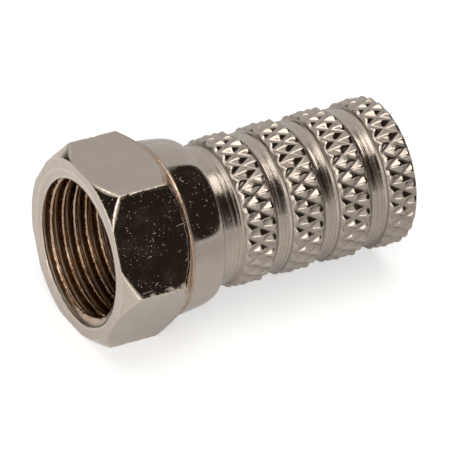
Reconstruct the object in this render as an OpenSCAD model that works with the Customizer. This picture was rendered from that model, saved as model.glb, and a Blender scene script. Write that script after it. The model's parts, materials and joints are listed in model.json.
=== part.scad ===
// Twist-on F plug for coaxial cable: a free-turning hexagon coupling nut on a knurled cable sleeve.
// The plug lies on one flat of its hexagon, with its axis along X: mouth at -X, cable end at +X.

/* [Hexagon] */
// Width across the flats
hex_af = 11; // [10.9:0.05:12]
// Diameter of the flat ring on the front face
face_d = 11.2; // [10.6:0.1:11.6]
// Length of the bevel that trims the front corners
front_bevel_len = 0.9; // [0.4:0.05:1.4]
// Length of the corner edges between the bevels
edge_len = 3.2; // [2:0.1:5]
// Length of the bevel that trims the rear corners
rear_bevel_len = 0.85; // [0.4:0.05:1.4]
// How much the sharp corner edges are broken, in radius
corner_break = 0.05; // [0.02:0.01:0.15]

/* [Coupling thread] */
// Outside diameter of the 3/8 inch thread that the nut takes
thread_d = 9.525; // [9.4:0.025:9.6]
// Pitch of that thread, 32 turns to the inch
thread_pitch = 0.794; // [0.7:0.002:0.85]
// Diameter of the countersink at the mouth
mouth_d = 10; // [9.7:0.05:10.3]
// Depth from the mouth to the shoulder where the thread ends
thread_depth = 5.3; // [4.8:0.1:6]

/* [Nut collar] */
// Length of the round collar behind the hexagon
collar_len = 2.55; // [2.3:0.05:4]
// How far the collar lies inside the flats of the hexagon
collar_inset = 0.04; // [0.02:0.01:0.2]
// How far the collar curls in by its rear edge
collar_drop = 0.55; // [0.3:0.05:0.7]
// Wall of the skirt round the sleeve's flange
skirt_wall = 0.52; // [0.4:0.02:0.6]
// Thickness of the lip that is rolled in behind the flange
lip_len = 0.7; // [0.5:0.05:0.9]

/* [Sleeve front] */
// Diameter of the plain neck
neck_d = 8.6; // [8.3:0.05:8.7]
// Length of neck that shows between the nut and the knurling
neck_len = 1.7; // [1.2:0.05:3]
// Diameter of the hole for the cable's insulated core
core_d = 4.9; // [4.2:0.1:5.6]
// Length of the core hole
core_len = 3.6; // [3:0.1:4.4]

/* [Cable end] */
// Diameter of the bore for the cable's jacket
jacket_d = 6.7; // [6:0.1:7.2]
// Width of the countersinks at the ends of the sleeve's hole
entry_bevel = 0.35; // [0.2:0.05:0.5]

/* [Knurling] */
// Diameter over the points of the knurling
crest_d = 9.4; // [9.2:0.05:9.8]
// Depth of the knurling
knurl_depth = 0.28; // [0.2:0.02:0.34]
// Points round one turn
knurl_teeth = 28; // [20:1:36]
// Angle between the knurling's grooves and the axis
knurl_angle = 32; // [29:1:40]
// Number of knurled bands
band_count = 4; // [2:1:6]
// Width of each band but the rear one
band_w = 2.2; // [2:0.05:3.2]
// Width of the rear band
rear_band_w = 2.0; // [1.8:0.05:3.2]
// Width of each plain groove between bands but the rear one
groove_w = 1.08; // [0.6:0.02:2]
// Width of the rear groove
rear_groove_w = 1.2; // [0.6:0.05:2]
// Depth of the plain grooves below the foot of the knurling
groove_step = 0.15; // [0.05:0.01:0.25]
// Length of the slope from each band's front edge up to its first points
band_lead = 0.2; // [0.1:0.05:0.6]
// Least length of the slope down to each band's rear edge
band_tail = 0.1; // [0.05:0.01:0.2]

/* [Fits] */
// Radial gap between the neck and the nut's lip
neck_clearance = 0.08; // [0.03:0.01:0.1]
// Radial gap between the flange and the nut's skirt
flange_clearance = 0.1; // [0.05:0.01:0.2]
// Gap in front of and behind the flange, which lets the nut shuffle
end_float = 0.08; // [0.04:0.01:0.15]

/* [Hidden] */
NICKEL = [0.66, 0.63, 0.59];
TURN = 96;
PAST = 1;

corner_r = hex_af / sqrt(3);
edge_r = corner_r - corner_break;
front_edge_x = front_bevel_len;
rear_edge_x = front_edge_x + edge_len;
hex_end_x = rear_edge_x + rear_bevel_len;
nut_end_x = hex_end_x + collar_len;

// The nut's bore is cut at the thread's minor diameter, as a tap drill leaves it
thread_depth_factor = 1.0825;
thread_r = (thread_d - thread_depth_factor * thread_pitch) / 2;
mouth_r = mouth_d / 2;
collar_r = hex_af / 2 - collar_inset;
skirt_r = collar_r - skirt_wall;
lip_r = neck_d / 2 + neck_clearance;
lip_x = nut_end_x - lip_len;

neck_r = neck_d / 2;
flange_r = skirt_r - flange_clearance;
flange_x = thread_depth + end_float;
flange_end_x = lip_x - end_float;
core_r = core_d / 2;
core_end_x = flange_x + core_len;
jacket_r = jacket_d / 2;
drill_angle = 30;

crest_r = crest_d / 2;
foot_r = crest_r - knurl_depth;
groove_r = foot_r - groove_step;
bands_x = nut_end_x + neck_len;
rear_band_x = bands_x + (band_count - 1) * band_w + (band_count - 2) * groove_w + rear_groove_w;
total_len = rear_band_x + rear_band_w;

// Rows of knurling stand half a tooth apart, and columns of points half of a diamond's length
knurl_rows = 2 * knurl_teeth;
knurl_half = PI * crest_r / knurl_teeth / tan(knurl_angle);

// Stands a shape that was turned about Z on its side, on the hexagon's flat, centred along X
module lay_down() {
    translate([-total_len / 2, 0, hex_af / 2]) rotate([0, 90, 0]) children();
}

module turned(outline) {
    rotate_extrude($fn = TURN) polygon(outline);
}

// Quarter of an ellipse, from the collar's full radius in to its rear edge
function collar_curve(steps) = [
    for (i = [0:steps])
        let (a = 90 * i / steps)
        [collar_r - collar_drop * (1 - cos(a)), hex_end_x + collar_len * sin(a)]
];

module hexagon() {
    intersection() {
        rotate(30) cylinder(r = corner_r, h = hex_end_x, $fn = 6);
        turned([
            [0, 0],
            [face_d / 2, 0],
            [edge_r, front_edge_x],
            [edge_r, rear_edge_x],
            [collar_r, hex_end_x],
            [0, hex_end_x]
        ]);
    }
}

module collar() {
    turned(concat([[0, rear_edge_x], [collar_r, rear_edge_x]], collar_curve(10), [[0, nut_end_x]]));
}

// Room inside the nut: countersink, thread bore, chamber for the sleeve's flange, and the lip's hole
module nut_chamber() {
    mouth_depth = mouth_r - thread_r;
    turned([
        [0, -PAST],
        [mouth_r + PAST, -PAST],
        [thread_r, mouth_depth],
        [thread_r, thread_depth],
        [skirt_r, thread_depth],
        [skirt_r, lip_x],
        [lip_r, lip_x],
        [lip_r, nut_end_x + PAST],
        [0, nut_end_x + PAST]
    ]);
}

module coupling_nut() {
    color(NICKEL)
    lay_down()
    difference() {
        union() {
            hexagon();
            collar();
        }
        nut_chamber();
    }
}

// Places along one band where its rings of points stand: front edge, columns of points, rear edge
function band_columns(start, width) =
    let (count = floor((width - band_lead - band_tail) / knurl_half))
    concat([start], [for (i = [0:count]) start + band_lead + i * knurl_half], [start + width]);

// Height of the knurling where a column meets a row: a point on every other crossing, a foot between
function knurl_r(column, last, row) =
    (column == 0 || column == last) ? foot_r : ((column + row) % 2 == 0 ? crest_r : foot_r);

// One band of diamond knurling as a solid plug. Each diamond is a pyramid of four facets,
// and the facets' lower edges follow the knurling tool's two crossing sets of grooves.
module knurled_band(start, width) {
    xs = band_columns(start, width);
    last = len(xs) - 1;
    rows = knurl_rows;
    points = [
        for (i = [0:last], j = [0:rows - 1])
            let (a = 360 * j / rows, r = knurl_r(i, last, j))
            [r * cos(a), r * sin(a), xs[i]]
    ];
    function at(i, j) = i * rows + j % rows;
    sides = [
        for (i = [0:last - 1], j = [0:rows - 1], half = [0, 1])
            (i + j) % 2 == 0
                ? (half == 0 ? [at(i, j), at(i + 1, j), at(i, j + 1)]
                             : [at(i, j + 1), at(i + 1, j), at(i + 1, j + 1)])
                : (half == 0 ? [at(i, j), at(i + 1, j), at(i + 1, j + 1)]
                             : [at(i, j), at(i + 1, j + 1), at(i, j + 1)])
    ];
    front = [for (j = [0:rows - 1]) at(0, j)];
    rear = [for (j = [rows - 1:-1:0]) at(last, j)];
    polyhedron(points, concat(sides, [front, rear]));
}

module all_bands() {
    for (i = [0:band_count - 2]) knurled_band(bands_x + i * (band_w + groove_w), band_w);
    knurled_band(rear_band_x, rear_band_w);
}

// The turned blank under the knurling: flange, neck and the floor of the plain grooves
module sleeve_blank() {
    turned([
        [0, flange_x],
        [flange_r, flange_x],
        [flange_r, flange_end_x],
        [neck_r, flange_end_x],
        [neck_r, bands_x + PAST / 2],
        [groove_r, bands_x + PAST / 2],
        [groove_r, total_len - PAST / 2],
        [0, total_len - PAST / 2]
    ]);
}

// The hole through the sleeve: core hole, a drill's cone, the jacket bore, and both countersinks
module sleeve_hole() {
    cone_len = (jacket_r - core_r) * tan(drill_angle);
    turned([
        [0, flange_x - PAST],
        [core_r + entry_bevel + PAST, flange_x - PAST],
        [core_r, flange_x + entry_bevel],
        [core_r, core_end_x],
        [jacket_r, core_end_x + cone_len],
        [jacket_r, total_len - entry_bevel],
        [jacket_r + entry_bevel + PAST, total_len + PAST],
        [0, total_len + PAST]
    ]);
}

module knurled_sleeve() {
    color(NICKEL)
    lay_down()
    difference() {
        union() {
            sleeve_blank();
            all_bands();
        }
        sleeve_hole();
    }
}

coupling_nut();
knurled_sleeve();
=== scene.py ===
import json

import bpy
import numpy as np
from mathutils import Matrix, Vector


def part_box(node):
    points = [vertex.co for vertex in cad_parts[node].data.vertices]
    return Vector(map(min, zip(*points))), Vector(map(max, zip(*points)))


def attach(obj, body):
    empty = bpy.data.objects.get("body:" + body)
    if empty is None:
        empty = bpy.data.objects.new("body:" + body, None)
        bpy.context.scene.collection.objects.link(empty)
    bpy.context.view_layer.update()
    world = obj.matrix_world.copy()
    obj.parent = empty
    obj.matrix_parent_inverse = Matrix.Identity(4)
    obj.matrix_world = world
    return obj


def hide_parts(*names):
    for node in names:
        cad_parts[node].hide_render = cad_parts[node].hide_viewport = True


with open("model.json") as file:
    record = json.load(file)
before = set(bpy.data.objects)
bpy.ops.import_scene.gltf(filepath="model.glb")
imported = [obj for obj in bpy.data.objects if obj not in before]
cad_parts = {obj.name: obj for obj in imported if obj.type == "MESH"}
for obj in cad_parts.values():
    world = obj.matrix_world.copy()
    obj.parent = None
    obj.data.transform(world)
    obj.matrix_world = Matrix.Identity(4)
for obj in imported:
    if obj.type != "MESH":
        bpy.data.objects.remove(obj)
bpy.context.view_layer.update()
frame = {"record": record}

mm = 0.001
mounts = {mount["name"]: mount for mount in frame["record"]["mounts"]}
nutLow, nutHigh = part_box("coupling_nut")
sleeveLow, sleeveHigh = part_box("knurled_sleeve")
axisZ = mounts["coupling_thread"]["pos_m"][2]
mouthX = nutLow.x
print("frame loaded")


# Turns grids of x and radius into points: angle 0 faces the camera's side of the plug and 90 degrees faces up
def turnedPoints(x, radius, angle):
    return np.stack([x, -radius * np.cos(angle), axisZ + radius * np.sin(angle)], axis=-1)


# A grid of points that closes both along its rows and round its columns becomes one closed mesh of
# triangles. Each four points are split along the diagonal that slant says.
def closedMesh(name, points, marks, slant=None):
    rows, columns = points.shape[:2]
    row = np.arange(rows)[:, None]
    column = np.arange(columns)[None, :]
    nextRow = (row + 1) % rows
    nextColumn = (column + 1) % columns
    a, b = row * columns + column, row * columns + nextColumn
    c, d = nextRow * columns + nextColumn, nextRow * columns + column
    slant = np.zeros((rows, columns), bool) if slant is None else slant
    first = np.where(slant[..., None], np.stack([a, b, d], axis=-1), np.stack([a, b, c], axis=-1))
    second = np.where(slant[..., None], np.stack([b, c, d], axis=-1), np.stack([a, c, d], axis=-1))
    triangles = np.concatenate([first.reshape(-1, 3), second.reshape(-1, 3)])
    mesh = bpy.data.meshes.new(name)
    mesh.vertices.add(rows * columns)
    mesh.vertices.foreach_set("co", points.reshape(-1).astype(np.float32))
    mesh.loops.add(triangles.size)
    mesh.loops.foreach_set("vertex_index", triangles.reshape(-1).astype(np.int32))
    mesh.polygons.add(len(triangles))
    mesh.polygons.foreach_set("loop_start", np.arange(0, triangles.size, 3, dtype=np.int32))
    mesh.polygons.foreach_set("use_smooth", np.ones(len(triangles), dtype=bool))
    for mark, values in marks.items():
        attribute = mesh.attributes.new(mark, "FLOAT", "POINT")
        values = np.broadcast_to(values, (rows, columns)).reshape(-1)
        attribute.data.foreach_set("value", values.astype(np.float32))
    mesh.update(calc_edges=True)
    mesh.validate()
    piece = bpy.data.objects.new(name, mesh)
    bpy.context.scene.collection.objects.link(piece)
    return piece


# A path of corners, each one an x and a radius for every column. Each corner is rounded by a parabola
# between the points that lie a cut before and a cut after it, and a row close to each end of a straight
# keeps that straight flat.
def roundedPath(corners, cuts, steps, support):
    points = [np.stack(np.broadcast_arrays(x, radius), axis=-1).astype(float) for x, radius in corners]
    rows = [points[0]]
    here = points[0]
    t = np.linspace(0, 1, steps + 1)[:, None, None]
    for before, corner, after, cut in zip(points, points[1:], points[2:], cuts):
        inWay = corner - before
        outWay = after - corner
        inLength = np.linalg.norm(inWay, axis=-1, keepdims=True)
        outLength = np.linalg.norm(outWay, axis=-1, keepdims=True)
        cut = np.minimum(cut, 0.45 * np.minimum(inLength, outLength))
        start = corner - cut * inWay / inLength
        end = corner + cut * outWay / outLength
        straight = np.linalg.norm(start - here, axis=-1, keepdims=True)
        near = np.minimum(support, 0.3 * straight) * (start - here) / np.maximum(straight, 1e-9)
        rows += [here + near, start - near]
        rows += list((1 - t) ** 2 * start + 2 * t * (1 - t) * corner + t ** 2 * end)
        here = end
    rows.append(points[-1])
    rows = np.array(rows)
    return rows[..., 0], rows[..., 1]


# How sharply a closed section turns at each row: above 0 at an outside edge and below 0 in an inside corner
def sectionBend(x, radius):
    section = np.stack([x, radius], axis=-1)
    before = section - np.roll(section, 1, axis=0)
    after = np.roll(section, -1, axis=0) - section
    cross = before[..., 1] * after[..., 0] - before[..., 0] * after[..., 1]
    return np.arctan2(cross, (before * after).sum(axis=-1))


nut = {
    "acrossFlats": nutHigh.z - nutLow.z,
    "cornerRounding": 0.12 * mm,
    "faceRadius": 5.6 * mm,
    "frontBevel": 0.9 * mm,
    "leastBevel": 0.03 * mm,
    "edgeLength": 3.2 * mm,
    "rearBevel": 0.85 * mm,
    "collarInset": 0.04 * mm,
    "collarDrop": 0.55 * mm,
    "collarFoot": 0.05 * mm,
    "collarTaper": 0.1,
    "mouthRadius": 5.0 * mm,
    "mouthSteepness": 6.0,
    "threadHeight": 0.5 * mm,
    "brownStart": 0.3 * mm,
    "threadPitch": 25.4 / 32 * mm,
    "threadRadius": mounts["coupling_thread"]["dims"]["r_mm"] * mm,
    "threadDepth": 5.3 * mm,
    "skirtWall": 0.52 * mm,
    "lipLength": 0.7 * mm,
    "lipRadius": 4.38 * mm,
    "edgeRounding": 0.2 * mm,
    "edgeWaver": 0.35,
    "dingsPerCorner": 4,
    "dingDepths": (0.015 * mm, 0.055 * mm),
    "dingWidth": 1.3,
    "dingSeed": 7,
    "cornerDings": [2.9 * mm, 3.2 * mm, 3.45 * mm, 3.8 * mm, 4.0 * mm],
}


# Columns round the hexagon, close together at its six corners
def hexAngles():
    inSector = np.concatenate([np.linspace(0, 0.86, 14), np.linspace(0.9, 1, 8)])
    half = 30 * inSector
    sector = np.concatenate([-half[:0:-1], half[:-1]])
    flats = np.arange(6)[:, None] * 60 + 30
    return np.radians((flats + sector[None, :]).reshape(-1))


# Distance from the axis to a hexagon with rounded corners: the flat's distance over the cosine of the angle
# from its middle, and by the corners the far crossing of a ray with the rounding's circle
def hexRadius(angle, flatDistance, rounding):
    fromFlat = np.abs((np.degrees(angle) % 60) - 30)
    fromCorner = np.radians(30 - fromFlat)
    centre = (flatDistance - rounding) / np.cos(np.radians(30))
    reach = centre * np.sin(fromCorner)
    arc = centre * np.cos(fromCorner) + np.sqrt(np.maximum(rounding ** 2 - reach ** 2, 0))
    flat = flatDistance / np.cos(np.radians(fromFlat))
    tangent = np.arctan2(rounding * 0.5, centre + rounding * np.cos(np.radians(30)))
    return np.where(fromCorner < tangent, arc, flat)


# A thread's rise from crest to root over one turn: a smoothed ramp with a short flat at the crest and at
# the root
def threadRise(turns):
    place = np.abs((turns % 1) - 0.5) * 2
    ramp = np.clip((place - 0.12) / 0.8, 0, 1)
    return ramp - 0.1 * np.sin(2 * np.pi * ramp)


# Small dings on the hexagon's corners: each one lowers the surface by a bell that is long in x and short
# round it
def dingDepth(x, angle):
    draw = np.random.default_rng(nut["dingSeed"])
    depth = 0
    for corner in range(6):
        spots = draw.uniform(1.0, 4.2, nut["dingsPerCorner"]) * mm
        if corner == 0:
            spots = np.concatenate([spots, np.array(nut["cornerDings"])])
        for spot in spots:
            length = draw.uniform(0.06, 0.15) * mm
            side = draw.uniform(-0.8, 1.6)
            away = (np.degrees(angle) - corner * 60 - side + 180) % 360 - 180
            bell = np.exp(-((x - spot) / length) ** 2 - (away / nut["dingWidth"]) ** 2)
            depth = depth + draw.uniform(*nut["dingDepths"]) * bell
    return depth


# The nut's section, for every column at once: thread, mouth, bevelled hexagon, domed collar, lip and chamber
def makeNut():
    angle = hexAngles()
    one = np.ones_like(angle)
    hexR = hexRadius(angle, nut["acrossFlats"] / 2, nut["cornerRounding"])
    faceR = np.minimum(nut["faceRadius"], hexR - nut["leastBevel"])
    edgeR = hexR.max()
    bevelSlope = nut["frontBevel"] / (edgeR - nut["faceRadius"])
    frontX = np.maximum((hexR - nut["faceRadius"]) * bevelSlope, nut["leastBevel"])
    collarR = nut["acrossFlats"] / 2 - nut["collarInset"]
    rearSlope = nut["rearBevel"] / (edgeR - collarR)
    hexEnd = nut["frontBevel"] + nut["edgeLength"] + nut["rearBevel"]
    rearX = hexEnd - (hexR - collarR) * rearSlope
    nutEnd = nutHigh.x - mouthX
    collarLength = nutEnd - hexEnd
    skirtR = collarR - nut["skirtWall"]
    lipX = nutEnd - nut["lipLength"]
    depth = nut["threadDepth"]

    threadX = np.linspace(depth, 0, 150)[:, None]
    turn = threadRise(threadX / nut["threadPitch"] + angle[None, :] / (2 * np.pi))
    threadR = nut["threadRadius"] + nut["threadHeight"] * turn
    threadR = np.maximum(threadR, nut["mouthRadius"] - nut["mouthSteepness"] * threadX)

    # The edges are worn unevenly round the nut, so their rounding swells and shrinks by a sum of waves
    waves = np.sin(5 * angle + 1) + np.sin(11 * angle + 2) + np.sin(23 * angle) + 0.7 * np.sin(47 * angle)
    rounding = nut["edgeRounding"] * (1 + nut["edgeWaver"] * waves[:, None] / 3)
    corners = [(0 * one, nut["mouthRadius"] * one), (0 * one, faceR), (frontX, hexR), (rearX, hexR)]
    ringX, ringR = roundedPath(corners, [0.05 * mm, rounding], 5, 0.03 * mm)
    share = np.linspace(0, 1, 30)[:, None]
    flatX = ringX[-2] + (rearX - rounding[:, 0] - ringX[-2]) * share
    flatR = hexR - dingDepth(flatX, angle)
    corners = [(flatX[-1], hexR), (rearX, hexR), (hexEnd * one, (collarR - nut["collarFoot"]) * one),
               ((hexEnd + 2 * nut["collarFoot"]) * one, collarR * one)]
    backX, backR = roundedPath(corners, [0.5 * rounding, 0.03 * mm], 5, 0.03 * mm)

    quarter = np.linspace(0.05, 0.5 * np.pi - 0.05, 26)[:, None] * one
    curveX = hexEnd + collarLength * np.sin(quarter)
    curveR = collarR - nut["collarDrop"] * (1 - np.cos(quarter))
    curveR -= nut["collarTaper"] * collarLength * np.sin(quarter) * (1 - np.sin(quarter))
    corners = [(curveX[-1], curveR[-1]), (nutEnd * one, (collarR - nut["collarDrop"] - 0.06 * mm) * one),
               (nutEnd * one, nut["lipRadius"] * one), (lipX * one, nut["lipRadius"] * one),
               (lipX * one, skirtR * one), (depth * one, skirtR * one), (depth * one, threadR[0])]
    cuts = np.array([0.1, 0.08, 0.05, 0.05, 0.05]) * mm
    lipPathX, lipPathR = roundedPath(corners, cuts, 4, 0.02 * mm)

    # Each stretch of rows: x, radius, how strongly the tool has ringed it, and how far inside and tarnished
    # it is
    stretches = [(threadX * one, threadR, 0.3, np.clip(threadX[:, 0] / nut["brownStart"] - 0.5, 0, 1)),
                 (ringX[1:-2], ringR[1:-2], 0.1, 0.0), (flatX, flatR, 0.0, 0.0),
                 (backX[1:], backR[1:], 0.2, 0.8), (curveX, curveR, 0.06, 0.0),
                 (lipPathX[1:-1], lipPathR[1:-1], 1.0, 0.3)]
    x = np.concatenate([stretch[0] for stretch in stretches])
    radius = np.concatenate([stretch[1] for stretch in stretches])
    turned = np.concatenate([np.full(len(stretch[0]), stretch[2]) for stretch in stretches])[:, None]
    inner = np.concatenate([np.zeros(len(stretch[0])) + stretch[3] for stretch in stretches])[:, None]
    bend = sectionBend(x, radius)
    onHexagon = (x > frontX) & (x < rearX) & (radius > collarR)
    fromCorner = np.abs((np.degrees(angle) + 30) % 60 - 30)
    cornerEdge = onHexagon * np.clip(1.6 - fromCorner / 1.2, 0, 1)
    # The edge mark on outside edges and hexagon corners carries a painted highlight in the colour, and real
    # wear in roughness and bumps
    edge = np.maximum(np.clip(bend * 6, 0, 1) * (1 - inner), cornerEdge)
    # The low mark in inside corners carries painted shade in the colour, and added roughness
    low = np.clip(-bend * 6, 0, 1)
    points = turnedPoints(mouthX + x, radius, angle[None, :] + 0 * x)
    return closedMesh("couplingNut", points, {"turned": turned, "inner": inner, "edge": edge, "low": low})


sleeve = {
    "flangeRadius": sleeveHigh.z - axisZ,
    "flangeEnd": 6.72 * mm,
    "neckRadius": 4.3 * mm,
    "coreRadius": mounts["core_hole"]["dims"]["r_mm"] * mm,
    "coreLength": 3.6 * mm,
    "jacketRadius": mounts["cable_bore"]["dims"]["r_mm"] * mm,
    "jacketThreadPitch": 1.0 * mm,
    "jacketThreadHeight": 0.22 * mm,
    "threadRunin": 0.6 * mm,
    "threadRunout": 2 * mm,
    "entryBevel": 0.35 * mm,
    "crestRadius": 4.7 * mm,
    "knurlDepth": 0.25 * mm,
    "valleyShare": 0.28,
    "pointBlunt": 0.08,
    "bulge": 0.18,
    "unevenness": [0.06, 0.16, 0.16],
    "frontSlope": 0.9,
    "rearSlope": 1.6,
    "teeth": 28,
    "knurlAngle": 32,
    "bandWidths": [2.2 * mm, 2.2 * mm, 2.2 * mm, 2.0 * mm],
    "grooveWidths": [1.08 * mm, 1.08 * mm, 1.2 * mm],
    "grooveStep": 0.15 * mm,
    "bandLead": 0.2 * mm,
    "firstRow": 4.9,
    "rimDrop": 0.03 * mm,
    "stepsPerHalf": 6,
    "ringDepth": 0.02 * mm,
    "ringStep": 0.09 * mm,
    "ringSeed": 3,
    "grooveWall": 0.16 * mm,
}


# Diamond knurling: the lesser of two crossing zigzags, one along each set of the tool's grooves. Zigzag is
# 1 on even numbers and 0 on odd ones, so pyramids stand between slanting valleys. Below the valley's share
# of the height the rise follows a parabola, so the valleys are round, and the points are blunted by another
# parabola. Each pyramid has its own small error of height and of tilt.
def knurlRise(column, row, unevenness):
    def zigzag(value):
        return np.abs((value % 2) - 1)
    rise = np.minimum(zigzag(column + row), zigzag(column - row))
    valley = sleeve["valleyShare"]
    rise = np.where(rise < valley, rise ** 2 / (2 * valley), rise - valley / 2) / (1 - valley / 2)
    first = np.floor((column + row + 1) / 2 + 1e-6).astype(int)
    second = np.floor((column - row + 1) / 2 + 1e-6).astype(int)
    middle = [first + second, first - second]
    error = unevenness[:, middle[0] % unevenness.shape[1], middle[1] % unevenness.shape[2]]
    rise = rise * (1 + error[0] + error[1] * (column - middle[0]) + error[2] * (row - middle[1]))
    rise = rise * (1 + sleeve["bulge"] * (1 - rise))
    return rise - sleeve["pointBlunt"] * np.clip((rise - 0.4) / 0.6, 0, 1) ** 2


# Rows across one band: a bevel at each end, and steps between them that divide the knurl's half pitch evenly
def bandRows(start, width, angle, unevenness):
    crest = sleeve["crestRadius"]
    foot = crest - sleeve["knurlDepth"]
    half = np.pi * crest / sleeve["teeth"] / np.tan(np.radians(sleeve["knurlAngle"]))
    first = start + sleeve["bandLead"]
    step = half / sleeve["stepsPerHalf"]
    grid = first + step * np.arange(-sleeve["stepsPerHalf"], 5 * sleeve["stepsPerHalf"])
    inside = grid[(grid > start + 0.3 * step) & (grid < start + width - 0.3 * step)]
    x = np.concatenate([[start], inside, [start + width]])[:, None]
    row = np.arange(len(angle))[None, :] / sleeve["stepsPerHalf"]
    column = (x - first) / half
    rise = knurlRise(column, row, unevenness)
    frontBevel = (x - start) * sleeve["frontSlope"] - sleeve["rimDrop"]
    rearBevel = (start + width - x) * sleeve["rearSlope"] - sleeve["rimDrop"]
    height = np.minimum(np.minimum(sleeve["knurlDepth"] * rise, frontBevel), rearBevel)
    slant = (np.floor(column + 0.01) + np.floor(row + 0.01)) % 2 == 0
    return x + 0 * rise, foot + height, height / sleeve["knurlDepth"], slant


# The sleeve's section: core hole, flange, ringed neck, bands and grooves, rear face and the bore with its
# jacket thread
def makeSleeve():
    columns = sleeve["teeth"] * 2 * sleeve["stepsPerHalf"]
    angle = np.radians(sleeve["firstRow"]) + np.arange(columns) / columns * 2 * np.pi
    one = np.ones_like(angle)
    front = sleeveLow.x - mouthX
    end = sleeveHigh.x - mouthX
    foot = sleeve["crestRadius"] - sleeve["knurlDepth"]
    grooveR = foot - sleeve["grooveStep"]
    entry = sleeve["entryBevel"]
    bandsX = end - sum(sleeve["bandWidths"]) - sum(sleeve["grooveWidths"])
    coreEnd = front + sleeve["coreLength"]
    cone = (sleeve["jacketRadius"] - sleeve["coreRadius"]) * np.tan(np.radians(30))
    draw = np.random.default_rng(sleeve["ringSeed"])
    stretches = []

    # x and radius of a stretch of rows, how strongly it is ringed by the tool, how high on the knurl, how
    # far inside, which way its squares are split, and whether it is a knurled band
    def add(x, radius, turned, rise=1.0, inner=0.0, slant=False, onBand=False):
        stretches.append([np.broadcast_to(value, np.broadcast_shapes(np.shape(x), np.shape(one)))
                          for value in (x, radius, turned, rise, inner, slant, onBand)])

    def rings(count, first=1.0, last=1.0):
        return sleeve["ringDepth"] * draw.uniform(-1, 0, (count, 1)) * np.linspace(first, last, count)[:, None]

    flange = [(front + entry, sleeve["coreRadius"]), (front, sleeve["coreRadius"] + entry),
              (front, sleeve["flangeRadius"]), (sleeve["flangeEnd"], sleeve["flangeRadius"]),
              (sleeve["flangeEnd"], sleeve["neckRadius"]),
              (sleeve["flangeEnd"] + 0.3 * mm, sleeve["neckRadius"])]
    x, radius = roundedPath([(x * one, radius * one) for x, radius in flange],
                            [0.05 * mm, 0.08 * mm, 0.08 * mm, 0.05 * mm], 4, 0.02 * mm)
    add(x, radius, 1.0)
    neckX = np.arange(sleeve["flangeEnd"] + 0.35 * mm, bandsX - 0.02 * mm, sleeve["ringStep"])[:, None]
    add(neckX, sleeve["neckRadius"] + rings(len(neckX), 0.2, 1.3), 0.8)
    here = bandsX
    for k, width in enumerate(sleeve["bandWidths"]):
        unevenness = draw.uniform(-1, 1, (3, 8, 2 * sleeve["teeth"]))
        unevenness = unevenness * np.array(sleeve["unevenness"])[:, None, None]
        x, radius, rise, slant = bandRows(here, width, angle, unevenness)
        add(x, radius, 0.1, rise, 0.0, slant, True)
        here += width
        if k < len(sleeve["grooveWidths"]):
            gap = sleeve["grooveWidths"][k]
            wall = sleeve["grooveWall"]
            grooveX = np.concatenate([[0, 0.33, 0.67, 1, 1.3], np.linspace(2, gap / wall - 2, 7),
                                      gap / wall - np.array([1.3, 1, 0.67, 0.33, 0])])[:, None] * wall
            fromWall = np.clip(1 - np.minimum(grooveX, gap - grooveX) / wall, 0, 1)
            drop = foot - sleeve["rimDrop"] - grooveR
            ringed = rings(len(grooveX)) * (fromWall == 0)
            add(here + grooveX, grooveR + drop * fromWall ** 1.5 + ringed, 0.8, 0.1)
            here += gap
    rear = [(end, foot - sleeve["rimDrop"]), (end, sleeve["jacketRadius"] + entry),
            (end - entry, sleeve["jacketRadius"])]
    x, radius = roundedPath([(x * one, radius * one) for x, radius in rear], [0.06 * mm], 4, 0.02 * mm)
    add(x[1:-1], radius[1:-1], 1.0)
    boreX = np.linspace(end - entry, coreEnd + cone, 80)[:, None]
    fade = np.clip((boreX - coreEnd - cone) / sleeve["threadRunout"], 0, 1)
    fade = fade * np.clip((end - entry - boreX) / sleeve["threadRunin"], 0, 1)
    rise = threadRise(boreX / sleeve["jacketThreadPitch"] - angle[None, :] / (2 * np.pi))
    add(boreX * one, sleeve["jacketRadius"] + sleeve["jacketThreadHeight"] * rise * fade, 0.4, 1.0, 1.0)
    add(np.array([[coreEnd]]), sleeve["coreRadius"], 1.0, 1.0, 1.0)

    x, radius, turned, rise, inner, slant, onBand = [np.concatenate(parts) for parts in zip(*stretches)]
    bend = sectionBend(x, radius)
    # The edge mark on knurl crests and outside edges carries a painted highlight in the colour, and real wear
    # in roughness and bumps
    edge = np.where(onBand, np.clip((rise - 0.55) / 0.45, 0, 1), np.clip(bend * 4, 0, 1))
    # The low mark in knurl valleys, groove floors and inside corners carries painted shade in the colour, and
    # added roughness
    low = np.where(onBand, np.clip(1.1 - 4 * rise, 0, 1), np.clip(-bend * 3, 0, 1))
    points = turnedPoints(mouthX + x, radius, angle[None, :] + 0 * x)
    marks = {"turned": turned, "inner": inner, "edge": edge, "low": low}
    return closedMesh("knurledSleeve", points, marks, slant)


# Makes a node, sets its own settings, and fills its inputs: a socket is linked and any other value is
# written in
def addNode(tree, kind, inputs=None, **settings):
    node = tree.nodes.new(kind)
    for setting, value in settings.items():
        setattr(node, setting, value)
    for socket, value in (inputs or {}).items():
        if isinstance(value, bpy.types.NodeSocket):
            tree.links.new(value, node.inputs[socket])
        else:
            node.inputs[socket].default_value = value
    return node


def mathNode(tree, operation, *values, **settings):
    return addNode(tree, "ShaderNodeMath", dict(enumerate(values)), operation=operation, **settings).outputs[0]


def vectorNode(tree, operation, *values):
    node = addNode(tree, "ShaderNodeVectorMath", dict(enumerate(values)), operation=operation)
    return node.outputs["Value" if operation == "DOT_PRODUCT" else "Vector"]


# Eases a value from 0 to 1 between two limits
def easeNode(tree, value, low, high):
    node = addNode(tree, "ShaderNodeMapRange", {"Value": value, "From Min": low, "From Max": high},
                   interpolation_type="SMOOTHSTEP")
    return node.outputs["Result"]


# The Mix node's colour sockets are its seventh and eighth inputs and its third output
def mixNode(tree, factor, first, second):
    return addNode(tree, "ShaderNodeMix", {0: factor, 6: first, 7: second}, data_type="RGBA").outputs[2]


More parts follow.
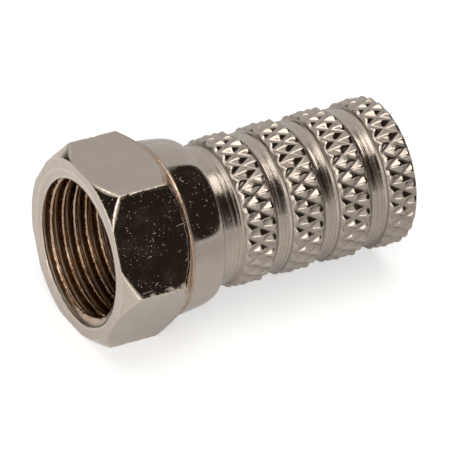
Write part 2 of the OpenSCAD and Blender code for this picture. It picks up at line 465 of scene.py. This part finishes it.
# A shader node group with named inputs, each with its own default, and named outputs
def makeGroup(name, inputs, outputs):
    group = bpy.data.node_groups.new(name, "ShaderNodeTree")
    for label, (kind, value) in inputs.items():
        socket = group.interface.new_socket(name=label, in_out="INPUT", socket_type=kind)
        if value is not None:
            socket.default_value = value
    for label, kind in outputs.items():
        group.interface.new_socket(name=label, in_out="OUTPUT", socket_type=kind)
    return group, group.nodes.new("NodeGroupInput").outputs, group.nodes.new("NodeGroupOutput").inputs


# Fine rings left by a lathe tool: noise that changes only along the axis, at three sizes
def makeTurningMarks():
    group, given, result = makeGroup("turningMarks", {
        "Coordinates": ("NodeSocketVector", None),
        "Ring Width": ("NodeSocketFloat", 0.12 * mm),
    }, {"Height": "NodeSocketFloat", "Streak": "NodeSocketFloat"})
    along = addNode(group, "ShaderNodeSeparateXYZ", {0: given["Coordinates"]}).outputs["X"]
    place = mathNode(group, "DIVIDE", along, given["Ring Width"])
    wide = addNode(group, "ShaderNodeTexNoise", {"W": mathNode(group, "MULTIPLY", place, 0.35), "Detail": 0.0},
                   noise_dimensions="1D").outputs["Fac"]
    rings = addNode(group, "ShaderNodeTexNoise", {"W": place, "Detail": 2.0, "Roughness": 0.6},
                    noise_dimensions="1D").outputs["Fac"]
    fine = addNode(group, "ShaderNodeTexNoise", {"W": mathNode(group, "MULTIPLY", place, 3.7), "Detail": 1.0},
                   noise_dimensions="1D").outputs["Fac"]
    both = mathNode(group, "MULTIPLY_ADD", fine, 0.25, rings)
    group.links.new(mathNode(group, "MULTIPLY", both, easeNode(group, wide, 0.3, 0.6)), result["Height"])
    group.links.new(easeNode(group, rings, 0.35, 0.7), result["Streak"])
    return group


# Marks of handling gather in clusters about this wide
clusterSize = 1.3 * mm


# Small marks of handling. Each cell of a Voronoi pattern holds one mark, whose place is measured along the
# surface: a speck is a round spot about the cell's point, and a scratch is a thin line through it in a way
# of the cell's own.
def makeHandlingMarks():
    group, given, result = makeGroup("handlingMarks", {
        "Coordinates": ("NodeSocketVector", None),
        "Normal": ("NodeSocketVector", None),
        "Spacing": ("NodeSocketFloat", 0.4 * mm),
        "Share": ("NodeSocketFloat", 0.3),
        "Length": ("NodeSocketFloat", 0.3 * mm),
        "Width": ("NodeSocketFloat", 0.02 * mm),
    }, {"Marks": "NodeSocketFloat"})
    scale = mathNode(group, "DIVIDE", 1.0, given["Spacing"])
    cells = addNode(group, "ShaderNodeTexVoronoi", {"Vector": given["Coordinates"], "Scale": scale})
    chance = addNode(group, "ShaderNodeSeparateColor", {0: cells.outputs["Color"]}).outputs

    def alongSurface(vector):
        lift = vectorNode(group, "DOT_PRODUCT", vector, given["Normal"])
        away = addNode(group, "ShaderNodeVectorMath", {0: given["Normal"], "Scale": lift}, operation="SCALE")
        return vectorNode(group, "SUBTRACT", vector, away.outputs["Vector"])

    offset = alongSurface(vectorNode(group, "SUBTRACT", given["Coordinates"], cells.outputs["Position"]))
    way = vectorNode(group, "NORMALIZE", alongSurface(vectorNode(group, "SUBTRACT", cells.outputs["Color"],
                                                                 (0.5, 0.5, 0.5))))
    along = vectorNode(group, "DOT_PRODUCT", offset, way)
    square = vectorNode(group, "DOT_PRODUCT", offset, offset)
    square = mathNode(group, "SUBTRACT", square, mathNode(group, "MULTIPLY", along, along))
    across = mathNode(group, "SQRT", square)
    width = mathNode(group, "MULTIPLY", given["Width"], mathNode(group, "ADD", chance["Red"], 0.3))
    length = mathNode(group, "MULTIPLY", given["Length"], mathNode(group, "ADD", chance["Blue"], 0.3))
    thin = easeNode(group, mathNode(group, "DIVIDE", across, width), 1.0, 0.4)
    short = easeNode(group, mathNode(group, "DIVIDE", mathNode(group, "ABSOLUTE", along), length), 1.0, 0.6)
    cluster = addNode(group, "ShaderNodeTexNoise", {"Vector": given["Coordinates"], "Scale": 1 / clusterSize,
                                                    "Detail": 2.0}).outputs["Fac"]
    share = mathNode(group, "MULTIPLY", given["Share"], easeNode(group, cluster, 0.38, 0.6))
    chosen = mathNode(group, "LESS_THAN", chance["Green"], share)
    mark = mathNode(group, "MULTIPLY", thin, short)
    group.links.new(mathNode(group, "MULTIPLY", mark, chosen), result["Marks"])
    return group


# Nickel plate: a painted highlight, a lighter and warmer colour, on rounded edges and crests; painted shade, a
# darker brown, in low places, which are also duller; duller and browner in the bores and in specks. Tarnish
# lies rough inside and in the joint behind the hexagon
def makeNickel(name, finish):
    material = bpy.data.materials.new(name)
    material.use_nodes = True
    tree = material.node_tree
    shader = tree.nodes["Principled BSDF"]
    place = addNode(tree, "ShaderNodeTexCoord").outputs["Object"]
    normal = addNode(tree, "ShaderNodeNewGeometry").outputs["Normal"]
    turned, inner, edge, low = [addNode(tree, "ShaderNodeAttribute", attribute_name=mark).outputs["Fac"]
                                for mark in ("turned", "inner", "edge", "low")]
    rings = addNode(tree, "ShaderNodeGroup", node_tree=groups["turningMarks"])
    tree.links.new(place, rings.inputs["Coordinates"])
    rings.inputs["Ring Width"].default_value = finish["ringWidth"]

    def handlingMarks(kind):
        node = addNode(tree, "ShaderNodeGroup", node_tree=groups["handlingMarks"])
        tree.links.new(place, node.inputs["Coordinates"])
        tree.links.new(normal, node.inputs["Normal"])
        for label, value in finish[kind].items():
            node.inputs[label].default_value = value
        return node.outputs["Marks"]

    specks = handlingMarks("specks")
    scratches = mathNode(tree, "MAXIMUM", handlingMarks("scratches"), handlingMarks("scuffs"))

    def noise(size, **more):
        inputs = {"Vector": place, "Scale": 1 / size, "Detail": 2.0, **more}
        return addNode(tree, "ShaderNodeTexNoise", inputs).outputs["Fac"]

    cloud = easeNode(tree, noise(finish["cloudSize"], Detail=4.0, Roughness=0.65), 0.35, 0.65)
    grit = noise(finish["gritSize"])
    worn = mathNode(tree, "MULTIPLY", edge, easeNode(tree, grit, 0.4, 0.6))

    plate = mixNode(tree, mathNode(tree, "MULTIPLY", cloud, 0.6), finish["plate"], finish["warmPlate"])
    stain = mathNode(tree, "MULTIPLY", inner, mathNode(tree, "MULTIPLY_ADD", cloud, 0.5, 0.5))
    plate = mixNode(tree, mathNode(tree, "MULTIPLY", stain, finish["innerBrown"]), plate, finish["brown"])
    # Painted shade: a darker brown colour in inside corners, groove floors and knurl valleys
    plate = mixNode(tree, mathNode(tree, "MULTIPLY", low, finish["paintedShadeAmount"]), plate, finish["paintedShadeColour"])
    # Painted highlight: a lighter, warmer colour on rounded edges, hexagon corners and knurl crests
    plate = mixNode(tree, mathNode(tree, "MULTIPLY", edge, 0.4), plate, finish["paintedHighlightColour"])
    plate = mixNode(tree, mathNode(tree, "MULTIPLY", specks, 0.6), plate, finish["speckColour"])
    tree.links.new(plate, shader.inputs["Base Color"])

    hazy = mathNode(tree, "MULTIPLY", cloud, grit)
    rough = mathNode(tree, "MULTIPLY_ADD", hazy, finish["haze"], finish["roughness"])
    for mask, amount in ((mathNode(tree, "MULTIPLY", turned, rings.outputs["Streak"]), 0.06), (low, 0.3),
                         (worn, 0.12), (scratches, 0.3), (specks, 0.35)):
        rough = mathNode(tree, "MULTIPLY_ADD", mask, amount, rough)
    tree.links.new(rough, shader.inputs["Roughness"])
    shader.inputs["Metallic"].default_value = 1

    height = mathNode(tree, "MULTIPLY", mathNode(tree, "MULTIPLY", rings.outputs["Height"], turned),
                      finish["ringHeight"])
    tarnish = mathNode(tree, "MULTIPLY", stain, noise(finish["tarnishSize"], Detail=3.0))
    for mask, amount in ((noise(finish["peelSize"]), finish["peelHeight"]), (worn, finish["wornHeight"]),
                         (scratches, -finish["scratchDepth"]), (specks, -finish["speckDepth"]),
                         (tarnish, finish["tarnishHeight"])):
        height = mathNode(tree, "MULTIPLY_ADD", mask, amount, height)
    bump = addNode(tree, "ShaderNodeBump", {"Height": height, "Distance": 1.0, "Strength": 1.0})
    tree.links.new(bump.outputs["Normal"], shader.inputs["Normal"])
    return material


groups = {"turningMarks": makeTurningMarks(), "handlingMarks": makeHandlingMarks()}
nickel = {
    "plate": (0.46, 0.405, 0.36, 1),
    "warmPlate": (0.43, 0.37, 0.315, 1),
    # Painted highlight colour for rounded edges and crests
    "paintedHighlightColour": (0.66, 0.56, 0.45, 1),
    "speckColour": (0.55, 0.45, 0.33, 1),
    # Painted shade colour for low places
    "paintedShadeColour": (0.22, 0.175, 0.135, 1),
    "brown": (0.36, 0.2, 0.1, 1),
    "innerBrown": 0.95,
    # How strongly the painted shade darkens low places
    "paintedShadeAmount": 0.3,
    "roughness": 0.06,
    "haze": 0.2,
    "cloudSize": 1.1 * mm,
    "gritSize": 0.12 * mm,
    "ringWidth": 0.12 * mm,
    "ringHeight": 0.004 * mm,
    "peelSize": 0.5 * mm,
    "peelHeight": 0.002 * mm,
    "wornHeight": 0.004 * mm,
    "tarnishSize": 0.35 * mm,
    "tarnishHeight": 0.06 * mm,
    "scratchDepth": 0.006 * mm,
    "speckDepth": 0.012 * mm,
    "specks": {"Spacing": 0.2 * mm, "Share": 0.3, "Length": 0.03 * mm, "Width": 0.022 * mm},
    "scratches": {"Spacing": 1.5 * mm, "Share": 0.35, "Length": 0.4 * mm, "Width": 0.01 * mm},
    "scuffs": {"Spacing": 0.6 * mm, "Share": 0.4, "Length": 0.12 * mm, "Width": 0.018 * mm},
}
sleeveFinish = {
    **nickel,
    "haze": 0.1,
    "ringHeight": 0.005 * mm,
    # Weaker painted shade on the sleeve's knurl valleys and grooves
    "paintedShadeAmount": 0.15,
    "innerBrown": 0.3,
    "tarnishHeight": 0.01 * mm,
    "specks": {"Spacing": 0.4 * mm, "Share": 0.2, "Length": 0.03 * mm, "Width": 0.025 * mm},
}
nutNickel = makeNickel("nutNickel", nickel)
sleeveNickel = makeNickel("sleeveNickel", sleeveFinish)
print("nickel materials made")


nutPiece = makeNut()
nutPiece.data.materials.append(nutNickel)
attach(nutPiece, "nut")
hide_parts("coupling_nut")
print("coupling nut made")

sleevePiece = makeSleeve()
sleevePiece.data.materials.append(sleeveNickel)
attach(sleevePiece, "sleeve")
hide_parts("knurled_sleeve")
print("knurled sleeve made")

camera = {
    "azimuth": -32.1,
    "elevation": 33.9,
    "roll": 4.4,
    "distance": 400 * mm,
    "sensorWidth": 36,
    "frameWidth": 27.35 * mm,
    "moveRight": -0.2 * mm,
    "moveUp": -1.05 * mm,
}


# The camera looks at the middle of the plug's axis along its azimuth and elevation, then turns by the roll
def makeCamera():
    azimuth, elevation, roll = np.radians([camera["azimuth"], camera["elevation"], camera["roll"]])
    outward = np.cos(elevation)
    back = np.array([np.sin(azimuth) * outward, -np.cos(azimuth) * outward, np.sin(elevation)])
    level = np.cross([0, 0, 1], back)
    level /= np.linalg.norm(level)
    upright = np.cross(back, level)
    right = np.cos(roll) * level + np.sin(roll) * upright
    up = -np.sin(roll) * level + np.cos(roll) * upright
    place = np.array([0, 0, axisZ]) + back * camera["distance"]
    place += right * camera["moveRight"] + up * camera["moveUp"]
    data = bpy.data.cameras.new("camera")
    data.sensor_width = camera["sensorWidth"]
    data.lens = camera["sensorWidth"] * camera["distance"] / camera["frameWidth"]
    data.clip_start = 0.01
    holder = bpy.data.objects.new("camera", data)
    holder.matrix_world = Matrix([[right[i], up[i], back[i], place[i]] for i in range(3)] + [[0, 0, 0, 1]])
    bpy.context.scene.collection.objects.link(holder)
    bpy.context.scene.camera = holder


makeCamera()
print("camera placed")

studio = {
    "wall": (0.76, 0.75, 0.74, 1),
    "darkness": (0.034, 0.026, 0.02, 1),
    "lampFringe": (1.0, 0.8, 0.58, 1),
    "lamp": (2.7, 2.65, 2.56, 1),
    "floorColour": (0.6, 0.6, 0.6, 1),
    "floorGlow": 0.58,
    "floorGlowInMetal": (0.5, 0.08),
    "glowFadeHalf": 14 * mm,
    "floorHalfWidth": 600 * mm,
}
# Each panel: the way from the plug to its middle, which way its width runs, its half width and half height as
# tangents of their angles, and how soft its edge is
lampPanels = [
    {"middle": (0.12, -0.06, 0.99), "across": (1, -0.35, 0), "half": (0.42, 0.3), "edge": 0.03},
    {"middle": (-0.08, 0.43, 0.9), "across": (1, 0, 0), "half": (0.14, 0.12), "edge": 0.04},
    {"middle": (-0.44, -0.56, 0.7), "across": (0.83, -0.55, 0), "half": (0.26, 0.26), "edge": 0.05},
    {"middle": (-0.16, -0.95, 0.16), "across": (1, 0, 0), "half": (0.14, 0.3), "edge": 0.05},
    {"middle": (-0.98, 0.05, 0.12), "across": (0, 1, 0), "half": (0.35, 0.2), "edge": 0.08},
]
darkPanels = [
    {"middle": (0.714, -0.38, 0.588), "across": (0.47, 0.883, 0), "half": (0.9, 0.6), "edge": 0.05},
    {"middle": (-0.72, 0.0, 0.69), "across": (0, 1, 0), "half": (0.55, 0.16), "edge": 0.06},
    {"middle": (-0.5, 0.82, 0.26), "across": (0.82, 0.5, 0), "half": (0.5, 0.22), "edge": 0.08},
]


# Where a direction, carried out to a plane one unit away, falls inside a rectangle on that plane
def panelMask(tree, direction, panel):
    middle = np.array(panel["middle"], float)
    middle /= np.linalg.norm(middle)
    upright = np.cross(middle, panel["across"])
    upright /= np.linalg.norm(upright)
    across = np.cross(upright, middle)
    reach = vectorNode(tree, "DOT_PRODUCT", direction, tuple(middle))
    mask = mathNode(tree, "GREATER_THAN", reach, 0.01)
    for way, half in zip((across, upright), panel["half"]):
        offset = mathNode(tree, "DIVIDE", vectorNode(tree, "DOT_PRODUCT", direction, tuple(way)), reach)
        inside = mathNode(tree, "SUBTRACT", half, mathNode(tree, "ABSOLUTE", offset))
        mask = mathNode(tree, "MULTIPLY", mask, easeNode(tree, inside, -panel["edge"], panel["edge"]))
    return mask


def makeWorld():
    world = bpy.data.worlds.new("studio")
    bpy.context.scene.world = world
    world.use_nodes = True
    tree = world.node_tree
    direction = addNode(tree, "ShaderNodeTexCoord").outputs["Generated"]
    colour = studio["wall"]
    for panel in darkPanels:
        colour = mixNode(tree, panelMask(tree, direction, panel), colour, studio["darkness"])
    lit = 0.0
    for panel in lampPanels:
        lit = mathNode(tree, "MAXIMUM", lit, panelMask(tree, direction, panel))
    colour = mixNode(tree, easeNode(tree, lit, 0.0, 0.4), colour, studio["lampFringe"])
    colour = mixNode(tree, easeNode(tree, lit, 0.3, 1.0), colour, studio["lamp"])
    seen = addNode(tree, "ShaderNodeLightPath").outputs["Is Camera Ray"]
    colour = mixNode(tree, seen, colour, (1, 1, 1, 1))
    tree.links.new(colour, tree.nodes["Background"].inputs["Color"])


# The floor takes the plug's soft shadow, and glows a little for the camera and in the metal so that it is
# white. In the metal the glow fades from the mouth's side of the plug to the cable's side, as under a lamp
# on the mouth's side.
def makeFloor():
    half = studio["floorHalfWidth"]
    mesh = bpy.data.meshes.new("floor")
    corners = [(-half, -half, 0), (half, -half, 0), (half, half, 0), (-half, half, 0)]
    mesh.from_pydata(corners, [], [(0, 1, 2, 3)])
    floor = bpy.data.objects.new("floor", mesh)
    bpy.context.scene.collection.objects.link(floor)
    paint = bpy.data.materials.new("floorPaint")
    paint.use_nodes = True
    tree = paint.node_tree
    shader = tree.nodes["Principled BSDF"]
    shader.inputs["Base Color"].default_value = studio["floorColour"]
    shader.inputs["Roughness"].default_value = 0.9
    shader.inputs["Specular IOR Level"].default_value = 0
    shader.inputs["Emission Color"].default_value = (1, 1, 1, 1)
    path = addNode(tree, "ShaderNodeLightPath").outputs
    inMetal = mathNode(tree, "MAXIMUM", path["Is Glossy Ray"], path["Is Transmission Ray"])
    glow = mathNode(tree, "MULTIPLY", path["Is Camera Ray"], studio["floorGlow"])
    along = addNode(tree, "ShaderNodeSeparateXYZ", {0: addNode(tree, "ShaderNodeTexCoord").outputs["Object"]})
    fade = addNode(tree, "ShaderNodeMapRange", {
        "Value": along.outputs["X"], "From Min": -studio["glowFadeHalf"], "From Max": studio["glowFadeHalf"],
        "To Min": studio["floorGlowInMetal"][0], "To Max": studio["floorGlowInMetal"][1]}).outputs["Result"]
    glow = mathNode(tree, "MULTIPLY_ADD", inMetal, fade, glow)
    tree.links.new(glow, shader.inputs["Emission Strength"])
    mesh.materials.append(paint)


makeWorld()
makeFloor()
print("studio lit")
bpy.context.scene.view_settings.view_transform = "Standard"
